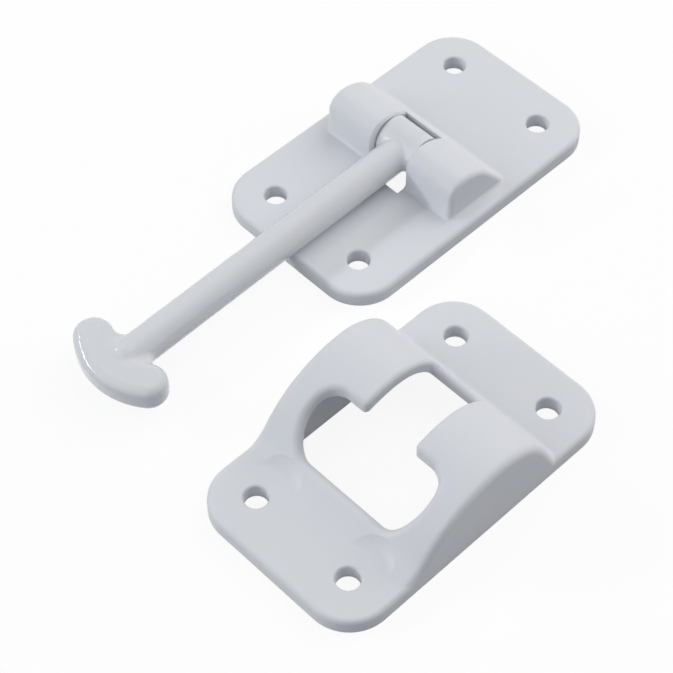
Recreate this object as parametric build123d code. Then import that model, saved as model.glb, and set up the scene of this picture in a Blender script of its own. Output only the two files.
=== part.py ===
from build123d import *
import os
from math import acos, asin, atan2, cos, degrees, hypot, radians, sin

# Door holder of moulded plastic in two halves, each screwed down through four holes.
# The hinge plate carries a swinging arm with a crescent head. The catch plate has a
# hollow ramp with a keyhole opening: the head goes in through the wide mouth, then the
# arm slides into the narrow neck and the ramp's wall holds the head back.
#
# Millimetres, +Z up from the mounting faces. X is the hinge axis, and the arm lies
# folded down along -Y. The origin is the centre of the hinge plate's screw holes on
# its mounting face. The catch plate lies beside the arm, square to the hinge plate.

# Both plates
plate_length = 79.4
plate_width = 47.6
plate_thickness = 3.8
corner_radius = 10.0
edge_round = 1.2
hole_spacing_x = 27.0
hole_spacing_y = 59.5
hole_diameter = 5.4
hole_rim_bevel = 0.3

# Hinge line, where the arm's pin lies
hinge_y = -0.6
rod_plate_gap = 0.8
pin_diameter = 6.0
pin_clearance = 0.1
pin_end_clearance = 0.4

# Arm, lengths from the hinge line
rod_diameter = 8.1
arm_length = 94.8
hub_width = 10.4
hub_wall = 1.05
hub_neck_round = 1.1
head_width = 26.6
head_depth = 9.0
head_thickness = 6.6
head_face_radius = 19.0
head_edge_round = 2.2
head_neck_round = 2.5
arm_rest_gap = 0.05

# Barrel housing over the pin, and the slot that the arm swings in
barrel_inset = 3.8
barrel_end_wall = 2.6
barrel_wall = 2.75
barrel_front_wall = 3.3
barrel_brow_radius = 4.5
barrel_crown_radius = 11.0
barrel_back_slope = 50.0
barrel_end_round = 1.3
barrel_foot_round = 0.8
slot_side_gap = 0.3
slot_front = 8.9
slot_back_gap = 0.3
slot_rim_bevel = 0.5

# Catch plate's place beside the hinge plate
catch_x = 57.1
catch_y = -59.5

# Ramp on the catch plate, lengths from its centre and height above the plate's top
ramp_height = 15.7
ramp_crest = 4.2
ramp_straight = 2.7
ramp_radius = 27.0
ramp_toe_radius = 7.0
drop_straight = 6.85
drop_radius = 15.0
drop_heel_radius = 2.0
ramp_wall = 2.8
ramp_heel_wall = 1.2
ramp_side_wall = 5.0
ramp_side_round = 1.8

# Keyhole opening in the ramp: the mouth lets the head in, the neck holds the rod
mouth_front = 16.8
mouth_side_gap = 3.3
mouth_end_gap = 2.8
mouth_front_radius = 6.2
mouth_back_radius = 5.0
neck_back = 15.0
neck_gap = 2.75
neck_corner_radius = 1.2
mouth_rim_round = 1.6
neck_rim_round = 1.2

# Round recesses that keep the ramp's toe clear of the screw heads
screw_recess_diameter = 21.4
screw_recess_round = 3.2

# Sizes and places worked out from those above
rod_radius = rod_diameter / 2
hub_radius = rod_radius + hub_wall
hinge_z = plate_thickness + rod_plate_gap + rod_radius
barrel_length = plate_width - 2 * barrel_inset
channel_length = barrel_length - 2 * barrel_end_wall
channel_radius = pin_diameter / 2 + pin_clearance
pin_length = channel_length - 2 * pin_end_clearance
barrel_top = hinge_z + pin_diameter / 2 + barrel_wall
barrel_front = hinge_y - channel_radius - barrel_front_wall
slot_back = hinge_y + hub_radius + slot_back_gap
mouth_width = head_width + 2 * mouth_side_gap
mouth_back = mouth_front - head_thickness - 2 * mouth_end_gap
neck_width = rod_diameter + 2 * neck_gap
touch = 0.01


def slope_angle(radii, straight):
    """Slope at which a straight between two arcs, whose radii are added up, climbs the ramp's height."""
    return degrees(acos((radii - ramp_height) / hypot(radii, straight)) - atan2(straight, radii))


ramp_slope = slope_angle(ramp_radius + ramp_toe_radius, ramp_straight)
drop_slope = slope_angle(drop_radius + drop_heel_radius, drop_straight)


def rest_angle():
    """Lean of the folded arm, which rests on the rounded front edge of its plate."""
    reach = plate_length / 2 - edge_round + hinge_y
    drop = hinge_z - (plate_thickness - edge_round)
    standoff = rod_radius + edge_round + arm_rest_gap
    return degrees(atan2(drop, reach) - asin(standoff / hypot(reach, drop)))


def plate():
    """Plate that both halves share, with its top edge softened."""
    slab = extrude(RectangleRounded(plate_width, plate_length, corner_radius), plate_thickness)
    return fillet(slab.faces().sort_by(Axis.Z)[-1].edges(), edge_round)


def drill_screw_holes(body):
    """Cuts the four screw holes and bevels their upper rims."""
    drill = Cylinder(hole_diameter / 2, plate_thickness, align=(Align.CENTER, Align.CENTER, Align.MIN))
    body = body - GridLocations(hole_spacing_x, hole_spacing_y, 2, 2) * drill
    rims = []
    for edge in body.edges().filter_by(GeomType.CIRCLE):
        at_top = abs(edge.center().Z - plate_thickness) < touch
        if at_top and abs(edge.radius - hole_diameter / 2) < touch:
            rims.append(edge)
    return chamfer(rims, hole_rim_bevel)


def barrel():
    """Housing over the pin: upright front, round crown and sloping back."""
    slope = radians(barrel_back_slope)
    rise = barrel_top - plate_thickness
    fall = (rise - barrel_crown_radius * (1 - cos(slope))) / sin(slope)
    front = Line((barrel_front, plate_thickness), (barrel_front, barrel_top - barrel_brow_radius))
    brow = JernArc(front @ 1, (0, 1), barrel_brow_radius, -90)
    crown = JernArc(brow @ 1, (1, 0), barrel_crown_radius, -barrel_back_slope)
    back = PolarLine(crown @ 1, fall, direction=crown % 1)
    side = make_face([front, brow, crown, back, Line(back @ 1, front @ 0)])
    body = extrude(Plane.YZ * side, barrel_length / 2, both=True)
    ends = body.faces().filter_by(Axis.X).edges()
    return fillet(ends.filter_by(lambda edge: edge.center().Z > plate_thickness + touch), barrel_end_round)


def pin_channel():
    """Half-round channel for the pin, open at the mounting face for assembly."""
    round_top = Pos(0, hinge_y, hinge_z) * Rot(0, 90, 0) * Cylinder(channel_radius, channel_length)
    way_in = Box(channel_length, 2 * channel_radius, hinge_z, align=(Align.CENTER, Align.CENTER, Align.MIN))
    return round_top + Pos(0, hinge_y, 0) * way_in


def arm_slot():
    """Slot through the barrel and the plate, in which the arm's hub turns."""
    front = hinge_y - slot_front
    middle = Pos(0, (slot_back + front) / 2, 0)
    width = hub_width + 2 * slot_side_gap
    cut = Box(width, slot_back - front, barrel_top, align=(Align.CENTER, Align.CENTER, Align.MIN))
    return middle * cut


def hinge_plate():
    """Plate with the barrel housing, the pin's channel and the arm's slot."""
    body = plate() + barrel()
    foot = body.edges().filter_by(Axis.X).filter_by_position(Axis.Z, plate_thickness - touch, plate_thickness + touch)
    body = fillet(foot.filter_by(lambda edge: abs(edge.center().Y - barrel_front) < touch), barrel_foot_round)
    slot = arm_slot()
    slotted = body - slot
    rims = new_edges(body, slot, combined=slotted).filter_by(GeomType.CIRCLE)
    body = chamfer(rims.filter_by(lambda edge: edge.center().Z > barrel_top - barrel_brow_radius), slot_rim_bevel)
    return drill_screw_holes(body - pin_channel())


def head():
    """Crescent head: a bent bar with round ends and softened edges."""
    spine_radius = head_face_radius - head_depth / 2
    half_turn = degrees(asin((head_width - head_depth) / 2 / spine_radius))
    centre = (0, head_face_radius - arm_length)
    spine = CenterArc(centre, spine_radius, 270 - half_turn, 2 * half_turn)
    slab = extrude(SlotArc(spine, head_depth), head_thickness / 2, both=True)
    return fillet(slab.faces().filter_by(Axis.Z).edges(), head_edge_round)


def t_arm():
    """Round arm with the crescent head at one end and the hub and pin at the other."""
    rod_length = arm_length - head_depth
    rod = Rot(90, 0, 0) * Cylinder(rod_radius, rod_length, align=(Align.CENTER, Align.CENTER, Align.MIN))
    rod = rod + Pos(0, -rod_length, 0) * Sphere(rod_radius)
    crescent = head()
    arm = rod + crescent
    arm = fillet(new_edges(rod, crescent, combined=arm), head_neck_round)
    hub = Rot(0, 90, 0) * Cylinder(hub_radius, hub_width)
    hubbed = arm + hub
    hubbed = fillet(new_edges(arm, hub, combined=hubbed), hub_neck_round)
    pinned = hubbed + Rot(0, 90, 0) * Cylinder(pin_diameter / 2, pin_length)
    return Pos(0, hinge_y, hinge_z) * Rot(rest_angle(), 0, 0) * pinned


def ramp_arcs(inset):
    """Side view of the ramp from the climb to the drop, moved inwards by inset."""
    up = radians(ramp_slope)
    start_y = ramp_crest - (ramp_radius - inset) * sin(up)
    start_z = plate_thickness + ramp_height - inset - (ramp_radius - inset) * (1 - cos(up))
    brow = JernArc((start_y, start_z), (cos(up), sin(up)), ramp_radius - inset, -ramp_slope)
    shoulder = JernArc(brow @ 1, (1, 0), drop_radius - inset, -drop_slope)
    return brow, shoulder


def ramp_side():
    """Side view of the ramp, blended into the plate's top at its toe and its heel."""
    brow, shoulder = ramp_arcs(0)
    climb = PolarLine(brow @ 0, ramp_straight, direction=-(brow % 0))
    toe = JernArc(climb @ 1, -(brow % 0), ramp_toe_radius, -ramp_slope)
    drop = PolarLine(shoulder @ 1, drop_straight, direction=shoulder % 1)
    heel = JernArc(drop @ 1, drop % 1, drop_heel_radius, drop_slope)
    underside = Polyline(heel @ 1, ((heel @ 1).X, 0), ((toe @ 1).X, 0), toe @ 1)
    return make_face([toe, climb, brow, shoulder, drop, heel, underside])


def hollow_side():
    """Side view of the space under the ramp, down to the mounting face."""
    brow, shoulder = ramp_arcs(ramp_wall)
    climb = PolarLine(brow @ 0, (brow @ 0).Y / sin(radians(ramp_slope)), direction=-(brow % 0))
    heel_y = ramp_side().bounding_box().max.X
    drop = Line(shoulder @ 1, (heel_y - ramp_heel_wall, 0))
    return make_face([climb, brow, shoulder, drop, Line(drop @ 1, climb @ 1)])


def catch_blank():
    """Plate with the solid ramp across its full width, before it is hollowed."""
    ramp = extrude(Plane.YZ * ramp_side(), plate_width / 2, both=True)
    sides = ramp.faces().filter_by(Axis.X).edges()
    ramp = fillet(sides.filter_by(lambda edge: edge.center().Z > plate_thickness), ramp_side_round)
    return plate() + ramp


def mouth():
    """Plan of the mouth, wide enough for the head."""
    plan = Pos(0, -(mouth_front + mouth_back) / 2) * Rectangle(mouth_width, mouth_front - mouth_back)
    plan = fillet(plan.vertices().sort_by(Axis.Y)[:2], mouth_front_radius)
    return fillet(plan.vertices().sort_by(Axis.Y)[-2:], mouth_back_radius)


def neck():
    """Plan of the neck, which runs back from the middle of the mouth."""
    length = neck_back + mouth_front / 2
    plan = Pos(0, neck_back - length / 2) * Rectangle(neck_width, length)
    return fillet(plan.vertices().sort_by(Axis.Y)[-2:], neck_corner_radius)


def cut_opening(body, plan, rim_round):
    """Cuts a plan through the ramp and rounds the upper rim of the cut."""
    opening = extrude(plan, plate_thickness + ramp_height)
    cut = body - opening
    rim = new_edges(body, opening, combined=cut).filter_by(lambda edge: edge.center().Z > plate_thickness)
    return fillet(rim.filter_by(Axis.Z, reverse=True), rim_round)


def ramp_hollow():
    """Space under the ramp, in which the head is held, open at the mounting face."""
    return extrude(Plane.YZ * hollow_side(), plate_width / 2 - ramp_side_wall, both=True)


def screw_recess():
    """Round recess over a screw hole, with a softly rounded foot."""
    cut = Cylinder(screw_recess_diameter / 2, ramp_height, align=(Align.CENTER, Align.CENTER, Align.MIN))
    cut = fillet(cut.edges().sort_by(Axis.Z)[:1], screw_recess_round)
    return Pos(0, -hole_spacing_y / 2, plate_thickness) * cut


def catch_plate():
    """Plate with the hollow ramp, its keyhole opening and the recesses at its toe."""
    body = cut_opening(catch_blank(), mouth(), mouth_rim_round)
    body = cut_opening(body, neck(), neck_rim_round)
    body = body - ramp_hollow()
    body = body - [Pos(side * hole_spacing_x / 2, 0, 0) * screw_recess() for side in (-1, 1)]
    return Pos(catch_x, catch_y, 0) * drill_screw_holes(body)


os.makedirs("parts", exist_ok=True)
export_step(hinge_plate(), "parts/hinge_plate.step")
export_step(t_arm(), "parts/t_arm.step")
export_step(catch_plate(), "parts/catch_plate.step")
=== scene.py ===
"""Door holder of white moulded plastic: finishes for its CAD pieces, and a plain pale studio."""

from math import cos, radians, sin

import bpy
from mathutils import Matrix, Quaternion, Vector


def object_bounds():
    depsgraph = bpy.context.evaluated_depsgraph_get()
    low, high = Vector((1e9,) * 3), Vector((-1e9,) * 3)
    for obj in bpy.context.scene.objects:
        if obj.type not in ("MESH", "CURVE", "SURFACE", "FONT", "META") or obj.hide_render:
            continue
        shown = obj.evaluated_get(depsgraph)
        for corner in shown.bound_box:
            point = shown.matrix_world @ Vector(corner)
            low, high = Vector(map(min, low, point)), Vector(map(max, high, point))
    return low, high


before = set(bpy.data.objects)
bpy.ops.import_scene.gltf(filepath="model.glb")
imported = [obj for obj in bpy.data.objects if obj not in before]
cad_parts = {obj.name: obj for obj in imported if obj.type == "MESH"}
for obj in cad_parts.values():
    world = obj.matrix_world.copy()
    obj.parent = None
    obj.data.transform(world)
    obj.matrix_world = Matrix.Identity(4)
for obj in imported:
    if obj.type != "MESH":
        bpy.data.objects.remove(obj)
cad_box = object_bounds()

bl_info = {
    "name": "Door Holder",
    "version": (1, 0, 0),
    "blender": (4, 5, 0),
    "location": "View3D > Sidebar > Door Holder",
    "description": "Finishes the door holder's moulded pieces and sets a pale studio round them",
    "category": "Object",
}


# Fixed values. Lengths are in metres, and the sensor's width in millimetres, as Blender has it.

# Both plastics: sharp edges are rounded by a hair, and light goes a little way in
EDGE_RADIUS = 0.0003
EDGE_SAMPLES = 6
SCATTER = {
    "Subsurface_Weight": 0.08,
    "Subsurface_Radius": (1.0, 0.95, 0.9),
    "Subsurface_Scale": 0.0012,
}

# Reflection: soft on the plates, and under a thin clear gloss on the arm
PLATE_GLOSS = {"IOR": 1.49, "Specular_IOR_Level": 0.28}
ARM_GLOSS = {"IOR": 1.5, "Specular_IOR_Level": 0.2, "Coat_Weight": 0.7, "Coat_Roughness": 0.04}

# Size of the soft blotches, and how far the colour or the roughness changes in them
PLATE_MOTTLE = (0.012, 0.012)
PLATE_PATCHES = (0.006, 0.04)
ARM_MOTTLE = (0.015, 0.01)
ARM_PATCHES = (0.008, 0.03)

# Stage
FLOOR_GAP = 0.0001
SENSOR_WIDTH = 36.0
WHITE = (1.0, 1.0, 1.0)

# Lamps, all at one distance from the camera's target, each with its direction from there and its
# width. The two behind the object light it but aren't reflected, so the glossy arm isn't bleached
# where it is seen from low in front.
LAMP_DISTANCE = 0.9
COOL = (0.95, 0.97, 1.0)
LAMPS = {
    "back_box": {"direction": (0.18, 0.72, 0.75), "width": 1.4, "glossy": False},
    "low_back_box": {"direction": (0.1, 1.0, 0.35), "width": 1.0, "glossy": False},
    "front_box": {"direction": (0.0, -0.85, 0.6), "width": 1.2, "colour": COOL},
    "strip_lamp": {
        "direction": (-0.72, -0.52, 0.46),
        "width": 0.75,
        "height": 0.045,
        "roll": radians(-27),
        "colour": COOL,
    },
}

# The Mix node's sockets for colours, whose names are also those of its sockets for numbers
MIX_FIRST = 6
MIX_SECOND = 7
MIX_RESULT = 2


# Settings

class PlatePlasticSettings(bpy.types.PropertyGroup):
    """Satin plastic of the hinge plate and the catch plate."""

    colour: bpy.props.FloatVectorProperty(
        name="Colour",
        description="Colour of the plates' plastic",
        subtype="COLOR",
        size=3,
        min=0.0,
        max=1.0,
        default=(0.74, 0.755, 0.79),
    )
    roughness: bpy.props.FloatProperty(
        name="Roughness",
        description="Roughness of the satin surface",
        subtype="FACTOR",
        min=0.0,
        max=1.0,
        default=0.46,
    )
    relief_size: bpy.props.FloatProperty(
        name="Grain Size",
        description="Size of the fine grain that the mould's faces leave",
        unit="LENGTH",
        min=0.00005,
        default=0.00035,
    )
    relief_depth: bpy.props.FloatProperty(
        name="Grain Depth",
        description="Height of the fine grain",
        unit="LENGTH",
        min=0.0,
        default=0.000004,
    )


class ArmPlasticSettings(bpy.types.PropertyGroup):
    """Glossier plastic of the swinging arm."""

    colour: bpy.props.FloatVectorProperty(
        name="Colour",
        description="Colour of the arm's plastic",
        subtype="COLOR",
        size=3,
        min=0.0,
        max=1.0,
        default=(0.705, 0.72, 0.75),
    )
    roughness: bpy.props.FloatProperty(
        name="Roughness",
        description="Roughness of the arm's surface",
        subtype="FACTOR",
        min=0.0,
        max=1.0,
        default=0.24,
    )
    relief_size: bpy.props.FloatProperty(
        name="Ripple Size",
        description="Size of the slight ripples in the arm's surface",
        unit="LENGTH",
        min=0.0005,
        default=0.004,
    )
    relief_depth: bpy.props.FloatProperty(
        name="Ripple Depth",
        description="Height of the slight ripples",
        unit="LENGTH",
        min=0.0,
        default=0.00002,
    )


class StudioSettings(bpy.types.PropertyGroup):
    """Floor, lamps and camera."""

    floor_size: bpy.props.FloatProperty(
        name="Floor Size",
        description="Side of the square floor",
        unit="LENGTH",
        min=1.0,
        default=6.0,
    )
    floor_colour: bpy.props.FloatVectorProperty(
        name="Floor Colour",
        description="Colour of the floor as it lights the object",
        subtype="COLOR",
        size=3,
        min=0.0,
        max=1.0,
        default=(0.38, 0.40, 0.43),
    )
    floor_white: bpy.props.FloatVectorProperty(
        name="Floor White",
        description="Colour of the floor as the camera sees it",
        subtype="COLOR",
        size=3,
        min=0.0,
        max=1.0,
        default=WHITE,
    )
    floor_lift: bpy.props.FloatProperty(
        name="Floor Lift",
        description="Share of plain white in the floor that the camera sees, for faint shadows",
        subtype="FACTOR",
        min=0.0,
        max=1.0,
        default=0.9,
    )
    back_box_power: bpy.props.FloatProperty(
        name="Back Box Power",
        description="Power of the large softbox behind the object",
        unit="POWER",
        min=0.0,
        default=9.6,
    )
    low_back_box_power: bpy.props.FloatProperty(
        name="Low Back Box Power",
        description="Power of the softbox low behind the object",
        unit="POWER",
        min=0.0,
        default=1.3,
    )
    front_box_power: bpy.props.FloatProperty(
        name="Front Box Power",
        description="Power of the softbox that fills from the front",
        unit="POWER",
        min=0.0,
        default=4.5,
    )
    strip_lamp_power: bpy.props.FloatProperty(
        name="Strip Lamp Power",
        description="Power of the strip lamp on the left, whose glints show on the arm's rims",
        unit="POWER",
        min=0.0,
        default=3.0,
    )
    azimuth: bpy.props.FloatProperty(
        name="Azimuth",
        description="Turn of the camera round the object, from straight along the arm",
        unit="ROTATION",
        default=radians(45.62),
    )
    elevation: bpy.props.FloatProperty(
        name="Elevation",
        description="Height of the camera over the floor, as an angle",
        unit="ROTATION",
        default=radians(52.71),
    )
    distance: bpy.props.FloatProperty(
        name="Distance",
        description="Distance from the camera to its target",
        unit="LENGTH",
        min=0.05,
        default=0.4478,
    )
    lens: bpy.props.FloatProperty(
        name="Lens",
        description="Focal length over a sensor 36 mm wide",
        unit="CAMERA",
        min=10.0,
        default=110.03,
    )
    target: bpy.props.FloatVectorProperty(
        name="Target",
        description="Point that the camera looks at and the lamps stand round",
        subtype="TRANSLATION",
        unit="LENGTH",
        size=3,
        default=(0.02556, -0.04845, 0.0038),
    )


# Nodes and materials

def feed(tree, socket, value):
    """Sets a socket to a value, or links it to the socket that gives the value."""
    if isinstance(value, bpy.types.NodeSocket):
        tree.links.new(value, socket)
    else:
        socket.default_value = value


def add_node(tree, kind, **inputs):
    """Adds a node and feeds its inputs, whose names are written here with _ for a space."""
    node = tree.nodes.new(kind)
    for name, value in inputs.items():
        feed(tree, node.inputs[name.replace("_", " ")], value)
    return node


def work_out(tree, operation, first, second):
    """Works out one number from two."""
    node = tree.nodes.new("ShaderNodeMath")
    node.operation = operation
    for socket, value in zip(node.inputs, (first, second)):
        feed(tree, socket, value)
    return node.outputs["Value"]


def mix_colours(tree, factor, first, second):
    """The first colour where the factor is zero, and the second where it is one."""
    mix = tree.nodes.new("ShaderNodeMix")
    mix.data_type = "RGBA"
    tree.links.new(factor, mix.inputs["Factor"])
    mix.inputs[MIX_FIRST].default_value = (*first, 1)
    mix.inputs[MIX_SECOND].default_value = (*second, 1)
    return mix.outputs[MIX_RESULT]


def new_material(name):
    """Makes an empty material and returns it with its node tree."""
    material = bpy.data.materials.new(name)
    material.use_nodes = True
    material.node_tree.nodes.clear()
    return material, material.node_tree


def noise(tree, size):
    """Noise whose blotches are about as large as size, in metres of the piece itself."""
    place = add_node(tree, "ShaderNodeTexCoord").outputs["Object"]
    return add_node(tree, "ShaderNodeTexNoise", Vector=place, Scale=1 / size).outputs["Fac"]


def mottled_colour(tree, colour, size, change):
    """The colour, a little lighter and darker in soft blotches, as plastic flows in a mould."""
    darker = [part * (1 - change) for part in colour]
    lighter = [min(1, part * (1 + change)) for part in colour]
    return mix_colours(tree, noise(tree, size), darker, lighter)


def varied_roughness(tree, roughness, size, change):
    """Roughness that shifts a little from place to place."""
    spread = add_node(
        tree,
        "ShaderNodeMapRange",
        Value=noise(tree, size),
        To_Min=roughness - change,
        To_Max=roughness + change,
    )
    return spread.outputs["Result"]


def soft_edges(tree):
    """Normal that rounds the moulding's sharp edges by a hair."""
    bevel = add_node(tree, "ShaderNodeBevel", Radius=EDGE_RADIUS)
    bevel.samples = EDGE_SAMPLES
    return bevel.outputs["Normal"]


def relief(tree, size, depth):
    """Normal of a fine relief over the softened edges."""
    height = noise(tree, size)
    edges = soft_edges(tree)
    bump = add_node(tree, "ShaderNodeBump", Height=height, Distance=depth, Normal=edges)
    return bump.outputs["Normal"]


def moulded_plastic(name, settings, mottle, patches, gloss):
    """White plastic that varies in soft blotches, has a fine relief and lets light in a little."""
    material, tree = new_material(name)
    surface = add_node(
        tree,
        "ShaderNodeBsdfPrincipled",
        Base_Color=mottled_colour(tree, settings.colour, *mottle),
        Roughness=varied_roughness(tree, settings.roughness, *patches),
        Normal=relief(tree, settings.relief_size, settings.relief_depth),
        **gloss,
        **SCATTER,
    )
    add_node(tree, "ShaderNodeOutputMaterial", Surface=surface.outputs["BSDF"])
    return material


def finish_pieces(names, material):
    """Gives CAD pieces their material."""
    for name in names:
        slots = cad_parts[name].data.materials
        slots.clear()
        slots.append(material)


# Stage

def seen_directly(tree):
    """One where a surface is seen, in gloss or through glass too, and zero where it gives light."""
    path = add_node(tree, "ShaderNodeLightPath").outputs
    seen = work_out(tree, "MAXIMUM", path["Is Camera Ray"], path["Is Glossy Ray"])
    return work_out(tree, "MAXIMUM", seen, path["Is Transmission Ray"])


def floor_material(settings):
    """Pale matt floor whose shadows show faintly on white."""
    material, tree = new_material("pale_floor")
    seen = seen_directly(tree)
    colour = mix_colours(tree, seen, settings.floor_colour, settings.floor_white)
    matt = add_node(tree, "ShaderNodeBsdfDiffuse", Color=colour)
    white = add_node(tree, "ShaderNodeEmission", Color=(*WHITE, 1), Strength=1.0)
    lift = work_out(tree, "MULTIPLY", seen, settings.floor_lift)
    mix = add_node(tree, "ShaderNodeMixShader", Fac=lift)
    for socket, shader in zip(mix.inputs[1:], (matt.outputs["BSDF"], white.outputs["Emission"])):
        tree.links.new(shader, socket)
    add_node(tree, "ShaderNodeOutputMaterial", Surface=mix.outputs["Shader"])
    return material


def build_floor(settings):
    """Square floor just under the plates' mounting faces."""
    half = settings.floor_size / 2
    level = cad_box[0][2] - FLOOR_GAP
    corners = [
        (-half, -half, level),
        (half, -half, level),
        (half, half, level),
        (-half, half, level),
    ]
    mesh = bpy.data.meshes.new("floor")
    mesh.from_pydata(corners, [], [(0, 1, 2, 3)])
    mesh.materials.append(floor_material(settings))
    floor = bpy.data.objects.new("floor", mesh)
    bpy.context.scene.collection.objects.link(floor)


def white_backdrop():
    """World that is seen as white and gives no light, because the lamps give all of it."""
    world = bpy.data.worlds.new("studio")
    world.use_nodes = True
    tree = world.node_tree
    tree.nodes.clear()
    white = add_node(tree, "ShaderNodeBackground", Color=(*WHITE, 1), Strength=seen_directly(tree))
    add_node(tree, "ShaderNodeOutputWorld", Surface=white.outputs["Background"])
    bpy.context.scene.world = world


def area_lamp(
    name, power, target, direction, width, height=None, roll=0.0, colour=WHITE, glossy=True
):
    """Lamp that faces the target: square, or a strip where a height is given."""
    aim = Vector(direction).normalized()
    lamp = bpy.data.lights.new(name, "AREA")
    lamp.shape = "RECTANGLE"
    lamp.size = width
    lamp.size_y = height or width
    lamp.energy = power
    lamp.color = colour
    holder = bpy.data.objects.new(name, lamp)
    holder.location = Vector(target) + aim * LAMP_DISTANCE
    turn = aim.to_track_quat("Z", "Y") @ Quaternion((0, 0, 1), roll)
    holder.rotation_euler = turn.to_euler()
    holder.visible_glossy = glossy
    bpy.context.scene.collection.objects.link(holder)


def place_camera(settings):
    """Camera at the viewpoint that the object is best known from."""
    across = cos(settings.elevation)
    aim = Vector((
        sin(settings.azimuth) * across,
        -cos(settings.azimuth) * across,
        sin(settings.elevation),
    ))
    lens = bpy.data.cameras.new("camera")
    lens.sensor_width = SENSOR_WIDTH
    lens.lens = settings.lens
    camera = bpy.data.objects.new("camera", lens)
    camera.location = Vector(settings.target) + aim * settings.distance
    camera.rotation_euler = aim.to_track_quat("Z", "Y").to_euler()
    bpy.context.scene.collection.objects.link(camera)
    bpy.context.scene.camera = camera


# Operators

class DOORHOLDER_OT_plates(bpy.types.Operator):
    """Finish the hinge plate and the catch plate in satin plastic"""

    bl_idname = "door_holder.plates"
    bl_label = "Finish Plates"

    def execute(self, context):
        settings = context.scene.door_holder_plates
        material = moulded_plastic(
            "satin_plastic", settings, PLATE_MOTTLE, PLATE_PATCHES, PLATE_GLOSS
        )
        finish_pieces(("hinge_plate", "catch_plate"), material)
        return {"FINISHED"}


class DOORHOLDER_OT_arm(bpy.types.Operator):
    """Finish the swinging arm in glossier plastic"""

    bl_idname = "door_holder.arm"
    bl_label = "Finish Arm"

    def execute(self, context):
        settings = context.scene.door_holder_arm
        material = moulded_plastic(
            "glossy_plastic", settings, ARM_MOTTLE, ARM_PATCHES, ARM_GLOSS
        )
        finish_pieces(("t_arm",), material)
        return {"FINISHED"}


class DOORHOLDER_OT_stage(bpy.types.Operator):
    """Set the pale floor, the soft lamps and the camera"""

    bl_idname = "door_holder.stage"
    bl_label = "Set Stage"

    def execute(self, context):
        settings = context.scene.door_holder_studio
        build_floor(settings)
        white_backdrop()
        for name, lamp in LAMPS.items():
            area_lamp(name, getattr(settings, name + "_power"), settings.target, **lamp)
        place_camera(settings)
        context.scene.view_settings.view_transform = "Standard"
        return {"FINISHED"}


class DOORHOLDER_PT_sidebar(bpy.types.Panel):
    """Lists the door holder's settings and steps in the sidebar"""

    bl_idname = "DOORHOLDER_PT_sidebar"
    bl_label = "Door Holder"
    bl_space_type = "VIEW_3D"
    bl_region_type = "UI"
    bl_category = "Door Holder"

    def draw(self, context):
        for operator, (name, group) in zip(OPERATORS, SETTINGS.items()):
            box = self.layout.box()
            settings = getattr(context.scene, name)
            for field in group.__annotations__:
                box.prop(settings, field)
            box.operator(operator.bl_idname)


# The settings of each operator, in the operators' order
SETTINGS = {
    "door_holder_plates": PlatePlasticSettings,
    "door_holder_arm": ArmPlasticSettings,
    "door_holder_studio": StudioSettings,
}
OPERATORS = (DOORHOLDER_OT_plates, DOORHOLDER_OT_arm, DOORHOLDER_OT_stage)


def register():
    for name, group in SETTINGS.items():
        bpy.utils.register_class(group)
        setattr(bpy.types.Scene, name, bpy.props.PointerProperty(type=group))
    for operator in OPERATORS:
        bpy.utils.register_class(operator)
    bpy.utils.register_class(DOORHOLDER_PT_sidebar)


def unregister():
    bpy.utils.unregister_class(DOORHOLDER_PT_sidebar)
    for operator in reversed(OPERATORS):
        bpy.utils.unregister_class(operator)
    for name, group in SETTINGS.items():
        delattr(bpy.types.Scene, name)
        bpy.utils.unregister_class(group)


def main():
    register()
    bpy.ops.door_holder.plates()
    bpy.ops.door_holder.arm()
    bpy.ops.door_holder.stage()


if __name__ == "__main__":
    main()
